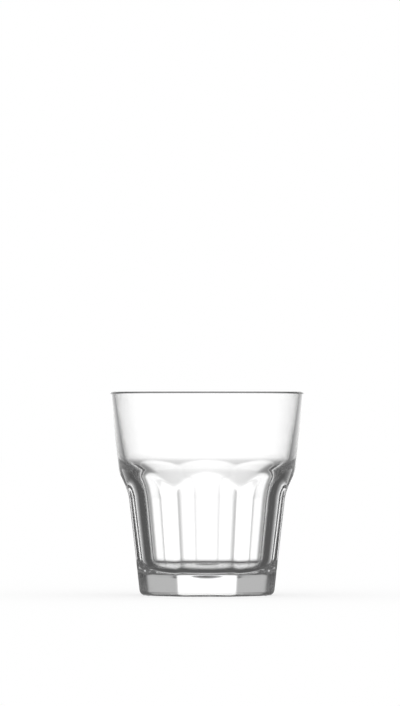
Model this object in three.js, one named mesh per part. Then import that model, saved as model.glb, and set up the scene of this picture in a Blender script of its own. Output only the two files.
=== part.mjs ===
// Rocks glass: a pressed soda-lime tumbler with flat panels below a plain round rim.
// Millimetres, +Z up. The glass stands on z = 0 about the Z axis, with one panel facing -Y.
// The one piece of glass is built in three lengths that meet face to face: base, panelled body and rim wall.

import * as THREE from 'three';

// Round wall
const GLASS_HEIGHT = 90;
const RIM_RADIUS = 43.05;
const WALL_TAPER_DEG = 6.55; // slope of the round wall and of the panels

// Panels pressed into the round wall
const PANEL_COUNT = 8;
const PANEL_DEPTH = 3.25; // round wall to panel, along the panel's centre line
const COVE_HEIGHT = 46; // middle of the curve from the panel's flat into its cove
const COVE_SLOPE = 0.4; // how far the cove leaves the panel's plane for each millimetre of rise
const COVE_SOFTNESS = 3.6; // half the height of that curve
const PANEL_EDGE_RADIUS = 3.8; // rounding of the edge between two panels
const BROW_SOFTNESS = 0.6; // softening of the arch between a cove and the round wall

// Foot
const FOOT_ROUNDING = 2.5;
const BEARING_WIDTH = 5; // flat ring that the glass stands on
const RECESS_DEPTH = 0.3; // hollow inside that ring

// Cavity
const RIM_WALL = 2.2;
const LEDGE_WALL = 3.25; // wall at the top of the ledge
const WALL_SWELL = 1.9; // power by which the wall thickens from the rim to the ledge
const LEDGE_RISE = 12; // top of the ledge, above the cove
const LEDGE_SLOPE = 0.53; // how far the ledge draws in for each millimetre of drop
const LEDGE_TOP_SOFTNESS = 1.1;
const LEDGE_FOOT_SOFTNESS = 1.25;
const LOWER_WALL = 4.4; // panel to cavity, below the ledge
const FLOOR_THICKNESS = 9.65; // from the plane that the glass stands on, without the dip
const FLOOR_DISH = 0.25; // rise of the floor from its middle to its edge
const FLOOR_FILLET = 7.3;
const DIP_RADIUS = 8.5; // shallow dip that the plunger's nose leaves in the middle of the floor
const DIP_DEPTH = 1.1;

// Fineness of the faceted surface
const FLAT_STEPS = 6; // across each panel
const EDGE_STEPS = 4; // round each edge between panels
const CURVE_STEPS = 10; // along each curve of the profile

const { degToRad, lerp } = THREE.MathUtils;
const taper = Math.tan(degToRad(WALL_TAPER_DEG));
const halfPanel = Math.PI / PANEL_COUNT;
const browTop = COVE_HEIGHT + (PANEL_DEPTH + BROW_SOFTNESS) / COVE_SLOPE;
const ledgeTop = COVE_HEIGHT + LEDGE_RISE;
const ledgeFoot = ledgeTop - (PANEL_DEPTH + LOWER_WALL - LEDGE_WALL) / (LEDGE_SLOPE - taper);
const bodyTop = ledgeTop + LEDGE_TOP_SOFTNESS / (LEDGE_SLOPE - taper);
const lipStart = GLASS_HEIGHT - RIM_WALL / 2;

// Evenly spaced values from a first to a last one, both included.
function spread(first, last, steps) {
  return Array.from({ length: steps + 1 }, (_, i) => lerp(first, last, i / steps));
}

// Smaller of two values, with the crease between them softened where they differ by less than the reach.
function softMin(a, b, reach) {
  const overlap = Math.max(reach - Math.abs(a - b), 0) / reach;
  return Math.min(a, b) - (overlap * overlap * reach) / 4;
}

function softMax(a, b, reach) {
  return -softMin(-a, -b, reach);
}

// Radius of the round wall, before the panels are pressed in.
function roundRadius(z) {
  return RIM_RADIUS - (GLASS_HEIGHT - z) * taper;
}

// Axis to the centre line of a panel, which leaves its flat for the cove.
function panelApothem(z) {
  return roundRadius(z) - PANEL_DEPTH + COVE_SLOPE * softMax(z - COVE_HEIGHT, 0, COVE_SOFTNESS);
}

// Radius of the cavity: a wall that swells from the rim, the ledge behind the coves, and the lower wall.
function cavityRadius(z) {
  const below = Math.min((GLASS_HEIGHT - z) / (GLASS_HEIGHT - ledgeTop), 1.5);
  const upper = roundRadius(z) - lerp(RIM_WALL, LEDGE_WALL, below ** WALL_SWELL);
  const ledge = roundRadius(ledgeTop) - LEDGE_WALL - LEDGE_SLOPE * (ledgeTop - z);
  const lower = roundRadius(z) - PANEL_DEPTH - LOWER_WALL;
  return softMin(upper, softMax(lower, ledge, LEDGE_FOOT_SOFTNESS), LEDGE_TOP_SOFTNESS);
}

// How far the rounded foot draws the section in at height z.
function footInset(z) {
  const left = Math.max(FOOT_ROUNDING - z, 0);
  return FOOT_ROUNDING - Math.sqrt(FOOT_ROUNDING ** 2 - left ** 2);
}

// Angle from a panel's centre line to where its edge rounding starts.
function flatHalfAngle(apothem) {
  return Math.atan((1 - PANEL_EDGE_RADIUS / apothem) * Math.tan(halfPanel));
}

// Radius of the panelled outline at an angle from the nearest panel's centre line.
function panelRadius(angle, apothem) {
  if (angle <= flatHalfAngle(apothem)) return apothem / Math.cos(angle);
  const centre = (apothem - PANEL_EDGE_RADIUS) / Math.cos(halfPanel);
  const across = centre * Math.sin(halfPanel - angle);
  return centre * Math.cos(halfPanel - angle) + Math.sqrt(PANEL_EDGE_RADIUS ** 2 - across ** 2);
}

// Angles of a section's points round the axis: panel by panel, the flat and then the rounded edge.
function sectionAngles(apothem) {
  const flat = flatHalfAngle(apothem);
  const onePanel = [
    ...spread(-flat, flat, FLAT_STEPS),
    ...spread(flat, 2 * halfPanel - flat, EDGE_STEPS).slice(1, -1),
  ];
  const panels = Array.from({ length: PANEL_COUNT }, (_, k) => 2 * halfPanel * k - Math.PI / 2);
  return panels.flatMap((centre) => onePanel.map((angle) => centre + angle));
}

// Ring of points at height z, one for each section angle, at the radius that the rule gives.
function ring(z, radiusAt) {
  return sectionAngles(panelApothem(0)).map((angle) => {
    const r = radiusAt(angle);
    return new THREE.Vector3(r * Math.cos(angle), r * Math.sin(angle), z);
  });
}

// Section of the outside: the panels, held within the round wall.
function outsideRing(z) {
  const apothem = panelApothem(z) - footInset(z);
  const round = roundRadius(z) - footInset(z);
  return ring(z, (angle) => {
    const turned = angle + Math.PI / 2 + halfPanel;
    const fromCentre = Math.abs(turned - 2 * halfPanel * Math.floor(turned / (2 * halfPanel)) - halfPanel);
    return softMin(panelRadius(fromCentre, apothem), round, BROW_SOFTNESS);
  });
}

// Round section of the cavity, the lip or the recess.
function roundRing(radius, z) {
  return ring(z, () => radius);
}

function cavityRing(z) {
  return roundRing(cavityRadius(z), z);
}

// Closed surface through a run of rings. The ends close on the axis at the given heights, or on each other.
function loft(rings, axisHeights) {
  const count = rings[0].length;
  const points = rings.flat();
  const index = [];
  const joins = axisHeights ? rings.length - 1 : rings.length;
  for (let i = 0; i < joins; i++) {
    const low = i * count;
    const high = ((i + 1) % rings.length) * count;
    for (let j = 0; j < count; j++) {
      const k = (j + 1) % count;
      index.push(low + j, low + k, high + k, low + j, high + k, high + j);
    }
  }
  if (axisHeights) {
    const first = points.push(new THREE.Vector3(0, 0, axisHeights[0])) - 1;
    const last = points.push(new THREE.Vector3(0, 0, axisHeights[1])) - 1;
    const top = (rings.length - 1) * count;
    for (let j = 0; j < count; j++) {
      const k = (j + 1) % count;
      index.push(first, k, j, last, top + j, top + k);
    }
  }
  const geometry = new THREE.BufferGeometry().setFromPoints(points);
  geometry.setIndex(index);
  geometry.computeVertexNormals();
  return geometry;
}

// Height of the cavity floor at a radius: a slight dish, with the dip in its middle.
function floorHeight(r) {
  const edgeRadius = cavityRadius(FLOOR_THICKNESS + FLOOR_DISH);
  const dip = DIP_DEPTH * Math.max(1 - (r / DIP_RADIUS) ** 2, 0);
  return FLOOR_THICKNESS + FLOOR_DISH * (r / edgeRadius) ** 2 - dip;
}

// Cavity floor, and the fillet that carries it up into the wall.
function floorProfile() {
  const edgeHeight = FLOOR_THICKNESS + FLOOR_DISH;
  const edge = new THREE.Vector2(cavityRadius(edgeHeight), edgeHeight);
  const dishRadius = edge.x - FLOOR_FILLET;
  const fillet = new THREE.QuadraticBezierCurve(
    new THREE.Vector2(cavityRadius(edgeHeight + FLOOR_FILLET), edgeHeight + FLOOR_FILLET),
    edge,
    new THREE.Vector2(dishRadius, floorHeight(dishRadius)),
  );
  const flat = (dishRadius + DIP_RADIUS) / 2;
  const dip = spread(DIP_RADIUS, 0, CURVE_STEPS / 2).slice(0, -1);
  const floor = [flat, ...dip].map((r) => new THREE.Vector2(r, floorHeight(r)));
  return {
    top: edgeHeight + FLOOR_FILLET,
    points: [...fillet.getPoints(CURVE_STEPS), ...floor],
  };
}

// Underside: the hollow, and the flat ring round it that the glass stands on.
function undersideRings() {
  const recessRadius = panelApothem(0) - FOOT_ROUNDING - BEARING_WIDTH;
  const radii = spread(0, recessRadius, CURVE_STEPS / 2).slice(1);
  return radii.map((r) => roundRing(r, RECESS_DEPTH * (1 - (r / recessRadius) ** 2)));
}

// Heavy solid base, up to the top of the cavity's floor fillet.
function makeShamBase() {
  const floor = floorProfile();
  const footTurns = spread(0, Math.PI / 2, CURVE_STEPS / 2);
  const footHeights = footTurns.map((turn) => FOOT_ROUNDING * (1 - Math.cos(turn)));
  const outside = [...footHeights, floor.top].map(outsideRing);
  const inside = floor.points.map((p) => roundRing(p.x, p.y));
  return loft([...undersideRings(), ...outside, ...inside], [RECESS_DEPTH, floorHeight(0)]);
}

// Thick lower wall: flat panels that cove out under their brows, and the cavity's ledge behind them.
function makePanelledBody() {
  const bottom = floorProfile().top;
  const footReach = LEDGE_FOOT_SOFTNESS / (LEDGE_SLOPE - taper);
  const coveHeights = spread(COVE_HEIGHT - COVE_SOFTNESS, browTop, 2 * CURVE_STEPS);
  const ledgeHeights = spread(ledgeFoot - footReach, bodyTop, 1.6 * CURVE_STEPS);
  const between = (heights) => [bottom, ...heights.filter((z) => z > bottom && z < bodyTop), bodyTop];
  const outside = between(coveHeights).map(outsideRing);
  const inside = between(ledgeHeights).reverse().map(cavityRing);
  return loft([...outside, ...inside]);
}

// Plain round upper wall, thinning to the rounded lip.
function makeRimWall() {
  const outer = roundRadius(lipStart);
  const inner = cavityRadius(lipStart);
  const middle = (outer + inner) / 2;
  const lipTurns = spread(0, Math.PI, CURVE_STEPS);
  const lip = lipTurns.map((turn) => roundRing(
    middle + ((outer - inner) / 2) * Math.cos(turn),
    lipStart + (RIM_WALL / 2) * Math.sin(turn),
  ));
  const inside = spread(lipStart, bodyTop, CURVE_STEPS / 2).slice(1).map(cavityRing);
  return loft([outsideRing(bodyTop), ...lip, ...inside]);
}

// Clear glass, a shade apart on each length so that they can be told apart.
function glass(colour) {
  return new THREE.MeshStandardMaterial({ color: colour, roughness: 0.05, metalness: 0 });
}

function named(name, geometry, material) {
  const mesh = new THREE.Mesh(geometry, material);
  mesh.name = name;
  return mesh;
}

const tumbler = new THREE.Group();
tumbler.name = 'rocks_glass';
tumbler.add(
  named('sham_base', makeShamBase(), glass(0xdfe6e5)),
  named('panelled_body', makePanelledBody(), glass(0xe6ecec)),
  named('rim_wall', makeRimWall(), glass(0xedf2f2)),
);

export default tumbler;
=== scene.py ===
"""Rocks glass: the pressed tumbler as one continuous piece of clear glass, in a bright-field studio."""
import math

import bmesh
import bpy
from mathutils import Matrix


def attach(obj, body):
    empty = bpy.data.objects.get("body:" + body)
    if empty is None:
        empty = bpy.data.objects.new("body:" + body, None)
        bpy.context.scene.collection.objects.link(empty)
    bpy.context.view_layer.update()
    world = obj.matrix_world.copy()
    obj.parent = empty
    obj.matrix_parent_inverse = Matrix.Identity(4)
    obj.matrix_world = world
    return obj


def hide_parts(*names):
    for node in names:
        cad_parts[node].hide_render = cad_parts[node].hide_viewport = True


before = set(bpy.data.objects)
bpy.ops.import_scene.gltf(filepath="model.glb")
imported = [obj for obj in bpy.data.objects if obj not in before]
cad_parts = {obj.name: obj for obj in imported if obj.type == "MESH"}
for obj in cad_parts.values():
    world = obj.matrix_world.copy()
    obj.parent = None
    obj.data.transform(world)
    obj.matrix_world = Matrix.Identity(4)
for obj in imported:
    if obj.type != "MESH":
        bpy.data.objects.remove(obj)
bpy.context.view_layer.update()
scene = bpy.context.scene
scene.view_settings.view_transform = "Standard"

MM = 0.001
DEGREES_PER_RADIAN = math.degrees(1.0)
WHITE = (1.0, 1.0, 1.0, 1.0)
BLACK = (0.0, 0.0, 0.0, 1.0)

# Sizes of the glass as in the construction: lengths in millimetres, and slopes and powers as numbers
PANEL_COUNT = 8
SIZES = {
    "Height": 90.0,
    "Rim radius": 43.05,
    "Taper": math.tan(math.radians(6.55)),
    "Panel depth": 3.25,
    "Cove height": 46.0,
    "Cove slope": 0.4,
    "Cove softness": 3.6,
    "Panel edge radius": 3.8,
    "Brow softness": 0.6,
    "Foot rounding": 2.5,
    "Bearing width": 5.0,
    "Recess depth": 0.3,
    "Rim wall": 2.2,
    "Ledge wall": 3.25,
    "Wall swell": 1.9,
    "Ledge rise": 12.0,
    "Ledge slope": 0.53,
    "Ledge top softness": 1.1,
    "Ledge foot softness": 1.25,
    "Lower wall": 4.4,
    "Floor thickness": 9.65,
    "Floor dish": 0.25,
    "Floor fillet": 7.3,
    "Dip radius": 8.5,
    "Dip depth": 1.1,
}

# The upper wall's swell stops growing at this many times the run from the rim to the ledge
SWELL_LIMIT = 1.5

# Rings of the fine mesh along each stretch of the profile, from the underside's centre to the floor's
RINGS = {
    "hollow": 14,
    "bearing": 6,
    "foot": 16,
    "panel": 16,
    "cove": 64,
    "upper": 14,
    "lip": 24,
    "inner_upper": 20,
    "ledge": 60,
    "inner_lower": 16,
    "fillet": 34,
    "floor": 16,
    "dip": 24,
}

# Points round the axis, and how strongly they crowd towards the panels' edges, from 0 to 1
SEGMENTS = 32 * PANEL_COUNT
EDGE_CROWDING = 0.72

# The ledge's fine rings start above its top by this many times the reach of its softening
LEDGE_TOP_REACH = 2.0

# Clear glass, and the faint ripple that the mould leaves: its scale per metre and its height in metres
GLASS_INDEX = 1.52
RIPPLE_SCALE = 90.0
RIPPLE_DETAIL = 2.0
RIPPLE_STRENGTH = 0.02
RIPPLE_HEIGHT = 0.0006

# Roughness that pressing and wear leave, and the heights in millimetres between which it fades out
OUTSIDE_DULLNESS = 0.03
INSIDE_DULLNESS = 0.1
FOOT_DULLNESS = 0.15
FIRE_POLISH_EDGES = (54.0, 62.0)
FOOT_WEAR_EDGES = (7.0, 13.0)

# What lies more than these millimetres in from the round wall and up from the foot is the cavity's surface
CAVITY_DEPTH = 6.0
CAVITY_BOTTOM = 5.0

# The photograph's frame in pixels: the rim is edge on, so the camera stands level with it
IMAGE_SIZE = (400, 706)
AXIS_COLUMN = 207.0
RIM_ROW = 391.55
PIXELS_PER_MM = 2.261

# The camera in metres, and its sensor in millimetres
CAMERA_DISTANCE = 3.1
SENSOR_WIDTH = 36.0
VIEW_REACH = 50.0

# Light that the glass shows: levels, and degrees to the side of straight behind it and above or below
BACK_LEVEL = 1.26
BACK_EDGES = {"side": (11.5, 22.5), "up": (0.0, 40.0), "down": (6.0, 30.0)}
COLLAR_LEVEL = 0.61
COLLAR_EDGES = {"side": (15.0, 58.0), "up": (12.0, 30.0), "down": (0.0, 50.0)}
FRONT_LEVEL = 0.25
FRONT_EDGES = {"side": (70.0, 110.0), "up": (0.0, 10.0), "down": (40.0, 80.0)}
TOP_LEVEL = 0.2
TOP_EDGES = (26.0, 41.0)
ROOM_LEVEL = 0.09
DOME_RADIUS = 9.0
DOME_SUBDIVISIONS = 5

# Light that the floor gets through the glass, where 1 is as much as beside it and would leave no shadow
SHADOW_LEVEL = 0.75
FLOOR_HALF_WIDTH = 6.0

# Light bends and turns many times inside the heavy base before it leaves it
LIGHT_BOUNCES = 32
scene.cycles.max_bounces = LIGHT_BOUNCES
scene.cycles.glossy_bounces = LIGHT_BOUNCES
scene.cycles.transmission_bounces = LIGHT_BOUNCES

# Without this filter's blur, what passes through the glass is not dimmed on its way to the floor
scene.cycles.blur_glossy = 0.0


class Board:
    """A node tree to which nodes are added by type, settings first and then sockets."""

    def __init__(self, tree):
        self.tree = tree

    def add(self, kind, settings=None, sockets=None, out=0):
        node = self.tree.nodes.new(kind)
        for name, value in (settings or {}).items():
            setattr(node, name, value)
        for key, value in (sockets or {}).items():
            if isinstance(value, Wire):
                self.tree.links.new(value.socket, node.inputs[key])
            else:
                node.inputs[key].default_value = value
        return Wire(self, node.outputs[out]) if len(node.outputs) else None

    def split(self, place):
        """The three coordinates of a place."""
        first = self.add("ShaderNodeSeparateXYZ", None, {0: place})
        return [Wire(self, socket) for socket in first.socket.node.outputs]


class Wire:
    """One socket's value, with the arithmetic that adds its own Math nodes."""

    def __init__(self, board, socket):
        self.board = board
        self.socket = socket

    def maths(self, operation, *values):
        sockets = dict(enumerate(values))
        return self.board.add("ShaderNodeMath", {"operation": operation}, sockets)

    def __add__(self, other):
        return self.maths("ADD", self, other)

    def __sub__(self, other):
        return self.maths("SUBTRACT", self, other)

    def __rsub__(self, other):
        return self.maths("SUBTRACT", other, self)

    def __mul__(self, other):
        return self.maths("MULTIPLY", self, other)

    def __truediv__(self, other):
        return self.maths("DIVIDE", self, other)

    def __rtruediv__(self, other):
        return self.maths("DIVIDE", other, self)

    def __gt__(self, other):
        return self.maths("GREATER_THAN", self, other)

    __radd__ = __add__
    __rmul__ = __mul__

    def abs(self):
        return self.maths("ABSOLUTE", self)

    def root(self):
        return self.maths("SQRT", self.most(0.0))

    def sin(self):
        return self.maths("SINE", self)

    def cos(self):
        return self.maths("COSINE", self)

    def tan(self):
        return self.maths("TANGENT", self)

    def least(self, other):
        return self.maths("MINIMUM", self, other)

    def most(self, other):
        return self.maths("MAXIMUM", self, other)

    def share(self, first, last):
        """0 at the first value and 1 at the last, held there outside them."""
        return ((self - first) / (last - first)).most(0.0).least(1.0)

    def ease(self, first, last):
        """As share, with a level start and finish."""
        part = self.share(first, last)
        return part * part * (3.0 - 2.0 * part)


def blend(first, second, part):
    """The first value where part is 0 and the second where it is 1."""
    return first + (second - first) * part


def soft_least(first, second, reach):
    """The smaller value, with the crease softened where the two differ by less than the reach."""
    overlap = (reach - (first - second).abs()).most(0.0) / reach
    return first.least(second) - overlap * overlap * reach / 4.0


def soft_most(first, second, reach):
    """The larger value, softened in the same way."""
    overlap = (reach - (first - second).abs()).most(0.0) / reach
    return first.most(second) + overlap * overlap * reach / 4.0


class TumblerForm:
    """The rules of the glass's shape, as fields on the points of a fine sphere."""

    def __init__(self, sizes, along, turn):
        self.size = sizes
        self.along = along
        self.turn = turn
        self.half = math.pi / PANEL_COUNT
        self.ends = self.stretch_ends()

    def stretch_ends(self):
        """Where each stretch starts and ends, as shares of the whole profile."""
        total = sum(RINGS.values())
        done = 0
        ends = {}
        for name, rings in RINGS.items():
            ends[name] = (done / total, (done + rings) / total)
            done += rings
        return ends

    def part(self, name):
        """From 0 to 1 along a stretch."""
        return self.along.share(*self.ends[name])

    def after(self, name):
        """1 on the stretches that come after this one along the profile."""
        return self.along > self.ends[name][1]

    def run(self, name, first, last):
        """From the first value to the last along a stretch, with rings crowded at both of its ends."""
        return blend(first, last, self.along.ease(*self.ends[name]))

    def round_radius(self, z):
        """The round wall, before the panels are pressed in."""
        return self.size["Rim radius"] - (self.size["Height"] - z) * self.size["Taper"]

    def panel_apothem(self, z):
        """Axis to the centre line of a panel, which leaves its flat for the cove."""
        size = self.size
        away = soft_most(z - size["Cove height"], 0.0, size["Cove softness"])
        return self.round_radius(z) - size["Panel depth"] + size["Cove slope"] * away

    def cavity_radius(self, z):
        """A wall that swells from the rim, the ledge behind the coves, and the lower wall."""
        size = self.size
        top = self.ledge_top()
        below = ((size["Height"] - z) / (size["Height"] - top)).least(SWELL_LIMIT)
        swell = below.maths("POWER", below, size["Wall swell"])
        upper = self.round_radius(z) - blend(size["Rim wall"], size["Ledge wall"], swell)
        ledge = self.ledge_radius() - size["Ledge slope"] * (top - z)
        lower = self.round_radius(z) - size["Panel depth"] - size["Lower wall"]
        drawn_in = soft_most(lower, ledge, size["Ledge foot softness"])
        return soft_least(upper, drawn_in, size["Ledge top softness"])

    def ledge_top(self):
        return self.size["Cove height"] + self.size["Ledge rise"]

    def ledge_radius(self):
        """The cavity at the top of the ledge."""
        return self.round_radius(self.ledge_top()) - self.size["Ledge wall"]

    def ledge_ends(self):
        """Heights at which the softened ledge starts and ends, from the top."""
        size = self.size
        lean = size["Ledge slope"] - size["Taper"]
        drop = (size["Panel depth"] + size["Lower wall"] - size["Ledge wall"]) / lean
        above = size["Ledge top softness"] * LEDGE_TOP_REACH / lean
        below = size["Ledge foot softness"] / lean
        return self.ledge_top() + above, self.ledge_top() - drop - below

    def cove_ends(self):
        """Heights between which a panel leaves its flat and has run out into the round wall."""
        size = self.size
        brow = (size["Panel depth"] + size["Brow softness"]) / size["Cove slope"]
        return size["Cove height"] - size["Cove softness"], size["Cove height"] + brow

    def foot_inset(self, z):
        """How far the rounded foot draws the section in."""
        rounding = self.size["Foot rounding"]
        left = (rounding - z).most(0.0)
        return rounding - (rounding * rounding - left * left).root()

    def panel_radius(self, apothem, from_centre):
        """The panelled outline: flats, with rounded edges between them."""
        edge = self.size["Panel edge radius"]
        flat = apothem / from_centre.cos()
        centre = (apothem - edge) / math.cos(self.half)
        off = self.half - from_centre
        across = centre * off.sin()
        rounded = centre * off.cos() + (edge * edge - across * across).root()
        on_edge = apothem * from_centre.tan() > (apothem - edge) * math.tan(self.half)
        return blend(flat, rounded, on_edge)

    def outside_radius(self, z, from_centre):
        """The panels, held within the round wall."""
        inset = self.foot_inset(z)
        panel = self.panel_radius(self.panel_apothem(z) - inset, from_centre)
        return soft_least(panel, self.round_radius(z) - inset, self.size["Brow softness"])

    def floor_height(self, radius, edge_radius):
        """A slight dish, with the dip that the plunger's nose leaves in its middle."""
        size = self.size
        rise = radius / edge_radius
        out = (radius / size["Dip radius"]).least(1.0)
        dished = size["Floor thickness"] + size["Floor dish"] * rise * rise
        return dished - size["Dip depth"] * (1.0 - out * out)

    def crowded_angle(self):
        """Turn about the axis and distance from a panel's middle, crowded towards the panels' edges."""
        wrapped = self.turn.maths("WRAP", self.turn + math.pi / 2, self.half, -self.half)
        shift = (wrapped * (math.pi / self.half)).sin() * (self.half / math.pi * EDGE_CROWDING)
        return self.turn + shift, (wrapped + shift).abs()

    def underside(self, rim):
        """The hollow, and the flat ring round it that the glass stands on."""
        size = self.size
        hollow_radius = self.panel_apothem(0.0) - size["Foot rounding"] - size["Bearing width"]
        part = self.part("hollow")
        radius = blend(hollow_radius * part, rim, self.part("bearing"))
        return radius, size["Recess depth"] * (1.0 - part * part)

    def outside(self, from_centre):
        """Foot, panels, coves and round wall, up to the lip."""
        size = self.size
        cove_start, cove_end = self.cove_ends()
        height = size["Foot rounding"] * (1.0 - (self.part("foot") * (math.pi / 2)).cos())
        height = blend(height, self.run("panel", size["Foot rounding"], cove_start), self.after("foot"))
        height = blend(height, blend(cove_start, cove_end, self.part("cove")), self.after("panel"))
        height = blend(height, self.run("upper", cove_end, self.lip_start()), self.after("cove"))
        return self.outside_radius(height, from_centre), height

    def lip_start(self):
        return self.size["Height"] - self.size["Rim wall"] / 2.0

    def lip(self):
        """Half a turn from the outer wall to the inner one."""
        turn = self.part("lip") * math.pi
        outer = self.round_radius(self.lip_start())
        inner = self.cavity_radius(self.lip_start())
        radius = blend(outer, inner, (1.0 - turn.cos()) / 2.0)
        return radius, self.lip_start() + self.size["Rim wall"] / 2.0 * turn.sin()

    def inside(self, fillet_top):
        """Upper wall, ledge and lower wall, down to the floor's fillet."""
        ledge_start, ledge_end = self.ledge_ends()
        height = self.run("inner_upper", self.lip_start(), ledge_start)
        height = blend(height, blend(ledge_start, ledge_end, self.part("ledge")), self.after("inner_upper"))
        height = blend(height, self.run("inner_lower", ledge_end, fillet_top), self.after("ledge"))
        return self.cavity_radius(height), height

    def fillet(self, edge, fillet_top):
        """The curve from the wall down to the floor, and the radius at which it reaches the floor."""
        t = self.part("fillet")
        dish_radius = edge[0] - self.size["Floor fillet"]
        start = (self.cavity_radius(fillet_top), fillet_top)
        finish = (dish_radius, self.floor_height(dish_radius, edge[0]))
        curve = [blend(blend(a, b, t), blend(b, c, t), t) for a, b, c in zip(start, edge, finish)]
        return curve, dish_radius

    def points(self):
        """Radius, height and turn of every point of the sphere, once it is the glass."""
        size = self.size
        angle, from_centre = self.crowded_angle()
        edge_height = size["Floor thickness"] + size["Floor dish"]
        edge = (self.cavity_radius(edge_height), edge_height)
        fillet_top = edge_height + size["Floor fillet"]
        outside = self.outside(from_centre)
        fillet, dish_radius = self.fillet(edge, fillet_top)
        dish = blend(dish_radius, size["Dip radius"], self.part("floor")) * (1.0 - self.part("dip"))
        stretches = (
            ("bearing", outside),
            ("upper", self.lip()),
            ("lip", self.inside(fillet_top)),
            ("inner_lower", fillet),
            ("fillet", (dish, self.floor_height(dish, edge[0]))),
        )
        radius, height = self.underside(outside[0])
        for name, (next_radius, next_height) in stretches:
            radius = blend(radius, next_radius, self.after(name))
            height = blend(height, next_height, self.after(name))
        return radius, height, angle


def tumbler_tree(material):
    """Geometry Nodes that press a fine sphere into the glass, with each size as a named input."""
    tree = bpy.data.node_groups.new("pressed_tumbler", "GeometryNodeTree")
    for name in SIZES:
        tree.interface.new_socket(name, in_out="INPUT", socket_type="NodeSocketFloat")
    tree.interface.new_socket("Geometry", in_out="OUTPUT", socket_type="NodeSocketGeometry")
    board = Board(tree)
    group = tree.nodes.new("NodeGroupInput")
    sizes = {name: Wire(board, group.outputs[name]) for name in SIZES}
    sphere = board.add("GeometryNodeMeshUVSphere", None,
                       {"Segments": SEGMENTS, "Rings": sum(RINGS.values()), "Radius": 1.0})
    x, y, z = board.split(board.add("GeometryNodeInputPosition"))
    along = 1.0 - z.maths("ARCCOSINE", z.most(-1.0).least(1.0)) / math.pi
    turn = y.maths("ARCTAN2", y, x)
    radius, height, angle = TumblerForm(sizes, along, turn).points()
    pressed = board.add("ShaderNodeCombineXYZ", None, {
        "X": radius * angle.cos() * MM,
        "Y": radius * angle.sin() * MM,
        "Z": height * MM,
    })
    shaped = board.add("GeometryNodeSetPosition", None, {"Geometry": sphere, "Position": pressed})
    smooth = board.add("GeometryNodeSetShadeSmooth", None, {0: shaped})
    real = board.add("GeometryNodeRealizeInstances", None, {"Geometry": smooth})
    finished = board.add("GeometryNodeSetMaterial", None, {"Geometry": real, "Material": material})
    board.add("NodeGroupOutput", None, {"Geometry": finished})
    return tree


def make_tumbler(material):
    """The glass as one plain mesh, made by its tree."""
    seed = bpy.data.objects.new("tumbler_seed", bpy.data.meshes.new("tumbler_seed"))
    scene.collection.objects.link(seed)
    modifier = seed.modifiers.new("pressing", "NODES")
    tree = tumbler_tree(material)
    modifier.node_group = tree
    for socket in tree.interface.items_tree:
        if socket.in_out == "INPUT":
            modifier[socket.identifier] = SIZES[socket.name]
    seed.update_tag()
    depsgraph = bpy.context.evaluated_depsgraph_get()
    mesh = bpy.data.meshes.new_from_object(seed.evaluated_get(depsgraph), depsgraph=depsgraph)
    bpy.data.objects.remove(seed)
    mesh.name = "tumbler"
    tumbler = bpy.data.objects.new("tumbler", mesh)
    scene.collection.objects.link(tumbler)
    return tumbler


def new_material(name):
    material = bpy.data.materials.new(name)
    material.use_nodes = True
    material.node_tree.nodes.clear()
    return material, Board(material.node_tree)


def pressed_dullness(board, place):
    """Roughness: none on the fire-polished upper wall, a little where pressed, and most on the foot."""
    x, y, up = (wire / MM for wire in board.split(place))
    round_wall = SIZES["Rim radius"] - (SIZES["Height"] - up) * SIZES["Taper"]
    depth = round_wall - (x * x + y * y).root()
    in_cavity = (depth > CAVITY_DEPTH) * (up > CAVITY_BOTTOM)
    pressed = 1.0 - up.ease(*FIRE_POLISH_EDGES)
    worn = 1.0 - up.ease(*FOOT_WEAR_EDGES)
    outside = blend(OUTSIDE_DULLNESS * pressed, FOOT_DULLNESS, worn)
    return blend(outside, INSIDE_DULLNESS * pressed, in_cavity)


def clear_glass():
    """Pressed glass: clear, with the faint ripple and uneven dullness that the mould leaves."""
    material, board = new_material("clear_glass")
    place = board.add("ShaderNodeTexCoord", out="Object")
    ripple = board.add("ShaderNodeTexNoise", None, {
        "Vector": place,
        "Scale": RIPPLE_SCALE,
        "Detail": RIPPLE_DETAIL,
    })
    bump = board.add("ShaderNodeBump", None, {
        "Strength": RIPPLE_STRENGTH,
        "Distance": RIPPLE_HEIGHT,
        "Height": ripple,
    })
    # The ripple is a half on average, so the dullness keeps its own mean
    dullness = pressed_dullness(board, place) * (0.5 + ripple)
    glass = board.add("ShaderNodeBsdfPrincipled", None, {
        "Base Color": WHITE,
        "Roughness": dullness,
        "IOR": GLASS_INDEX,
        "Transmission Weight": 1.0,
        "Normal": bump,
    })
    board.add("ShaderNodeOutputMaterial", None, {"Surface": glass})
    return material


def make_camera():
    data = bpy.data.cameras.new("camera")
    camera = bpy.data.objects.new("camera", data)
    scene.collection.objects.link(camera)
    focal_pixels = PIXELS_PER_MM / MM * CAMERA_DISTANCE
    data.sensor_width = SENSOR_WIDTH
    data.lens = focal_pixels * SENSOR_WIDTH / max(IMAGE_SIZE)
    data.clip_end = VIEW_REACH
    pitch = math.atan((RIM_ROW - IMAGE_SIZE[1] / 2) / focal_pixels)
    yaw = math.atan((AXIS_COLUMN - IMAGE_SIZE[0] / 2) / focal_pixels)
    camera.location = (0.0, -CAMERA_DISTANCE, SIZES["Height"] * MM)
    camera.rotation_euler = (math.pi / 2 + pitch, 0.0, yaw)
    scene.camera = camera
    return camera


def stage_piece(name, mesh, material):
    mesh.materials.append(material)
    piece = bpy.data.objects.new(name, mesh)
    scene.collection.objects.link(piece)
    return piece


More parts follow.
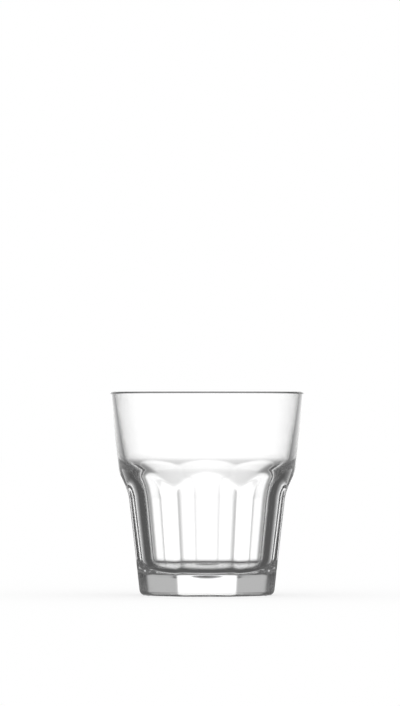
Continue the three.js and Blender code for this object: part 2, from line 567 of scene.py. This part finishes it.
def make_floor():
    """White floor that keeps the glass's faint shadow; in the glass itself the dome shows instead."""
    mesh = bpy.data.meshes.new("floor")
    side = FLOOR_HALF_WIDTH
    corners = [(-side, -side, 0.0), (side, -side, 0.0), (side, side, 0.0), (-side, side, 0.0)]
    mesh.from_pydata(corners, [], [(0, 1, 2, 3)])
    material, board = new_material("white_floor")
    matt = board.add("ShaderNodeBsdfDiffuse", None, {"Color": WHITE})
    board.add("ShaderNodeOutputMaterial", None, {"Surface": matt})
    floor = stage_piece("floor", mesh, material)
    floor.visible_transmission = False
    floor.visible_glossy = False


def band(up, edges):
    """1 between the first angles above and below the level, and 0 beyond the last ones."""
    return (1.0 - up.share(*edges["up"])) * (1.0 - (0.0 - up).share(*edges["down"]))


def patch(aside, up, edges):
    """The band, and only within the angles to either side."""
    return (1.0 - aside.ease(*edges["side"])) * band(up, edges)


def dome_level(place):
    """Light by direction: a bright panel behind the glass, dim collars beside it, and two weak fills."""
    x, y, z = place.board.split(place)
    aside = x.maths("ARCTAN2", x.abs(), 0.0 - z) * DEGREES_PER_RADIAN
    up = y.maths("ARCSINE", y) * DEGREES_PER_RADIAN
    in_front = aside.ease(*FRONT_EDGES["side"])
    front = FRONT_LEVEL * in_front * band(up, FRONT_EDGES)
    top = TOP_LEVEL * in_front * up.share(*TOP_EDGES)
    collar = COLLAR_LEVEL * patch(aside, up, COLLAR_EDGES)
    room = front.most(top).most(collar).most(ROOM_LEVEL)
    return blend(room, BACK_LEVEL, patch(aside, up, BACK_EDGES))


def dome_light():
    """Soft studio light, which rays from the floor see as an even one that leaves a faint shadow."""
    material, board = new_material("dome_light")
    place = board.add("ShaderNodeTexCoord", out="Object")
    unit = board.add("ShaderNodeVectorMath", {"operation": "NORMALIZE"}, {0: place})
    dark, bright, even = (
        board.add("ShaderNodeEmission", None, {"Color": colour, "Strength": strength})
        for colour, strength in ((BLACK, 1.0), (WHITE, BACK_LEVEL), (WHITE, SHADOW_LEVEL))
    )
    shown = board.add("ShaderNodeMixShader", None, {0: dome_level(unit) / BACK_LEVEL, 1: dark, 2: bright})
    off_floor = board.add("ShaderNodeLightPath", out="Diffuse Depth") > 0.5
    glow = board.add("ShaderNodeMixShader", None, {0: off_floor, 1: shown, 2: even})
    board.add("ShaderNodeOutputMaterial", None, {"Surface": glow})
    material.cycles.emission_sampling = "NONE"
    return material


def make_dome(camera):
    """The light's dome, which stays square to the camera and shows only in the glass."""
    shell = bmesh.new()
    bmesh.ops.create_icosphere(shell, subdivisions=DOME_SUBDIVISIONS, radius=DOME_RADIUS)
    mesh = bpy.data.meshes.new("light_dome")
    shell.to_mesh(mesh)
    shell.free()
    dome = stage_piece("light_dome", mesh, dome_light())
    dome.parent = camera
    dome.location = (0.0, 0.0, -CAMERA_DISTANCE)
    dome.visible_camera = False
    dome.visible_diffuse = False
    dome.visible_shadow = False


def make_background():
    """White all round, which also lights the floor."""
    world = bpy.data.worlds.new("white_background")
    world.use_nodes = True
    world.node_tree.nodes.clear()
    board = Board(world.node_tree)
    white = board.add("ShaderNodeBackground", None, {"Color": WHITE, "Strength": 1.0})
    board.add("ShaderNodeOutputWorld", None, {"Surface": white})
    scene.world = world


tumbler = make_tumbler(clear_glass())
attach(tumbler, "root")
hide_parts("sham_base", "panelled_body", "rim_wall")

make_dome(make_camera())
make_floor()
make_background()
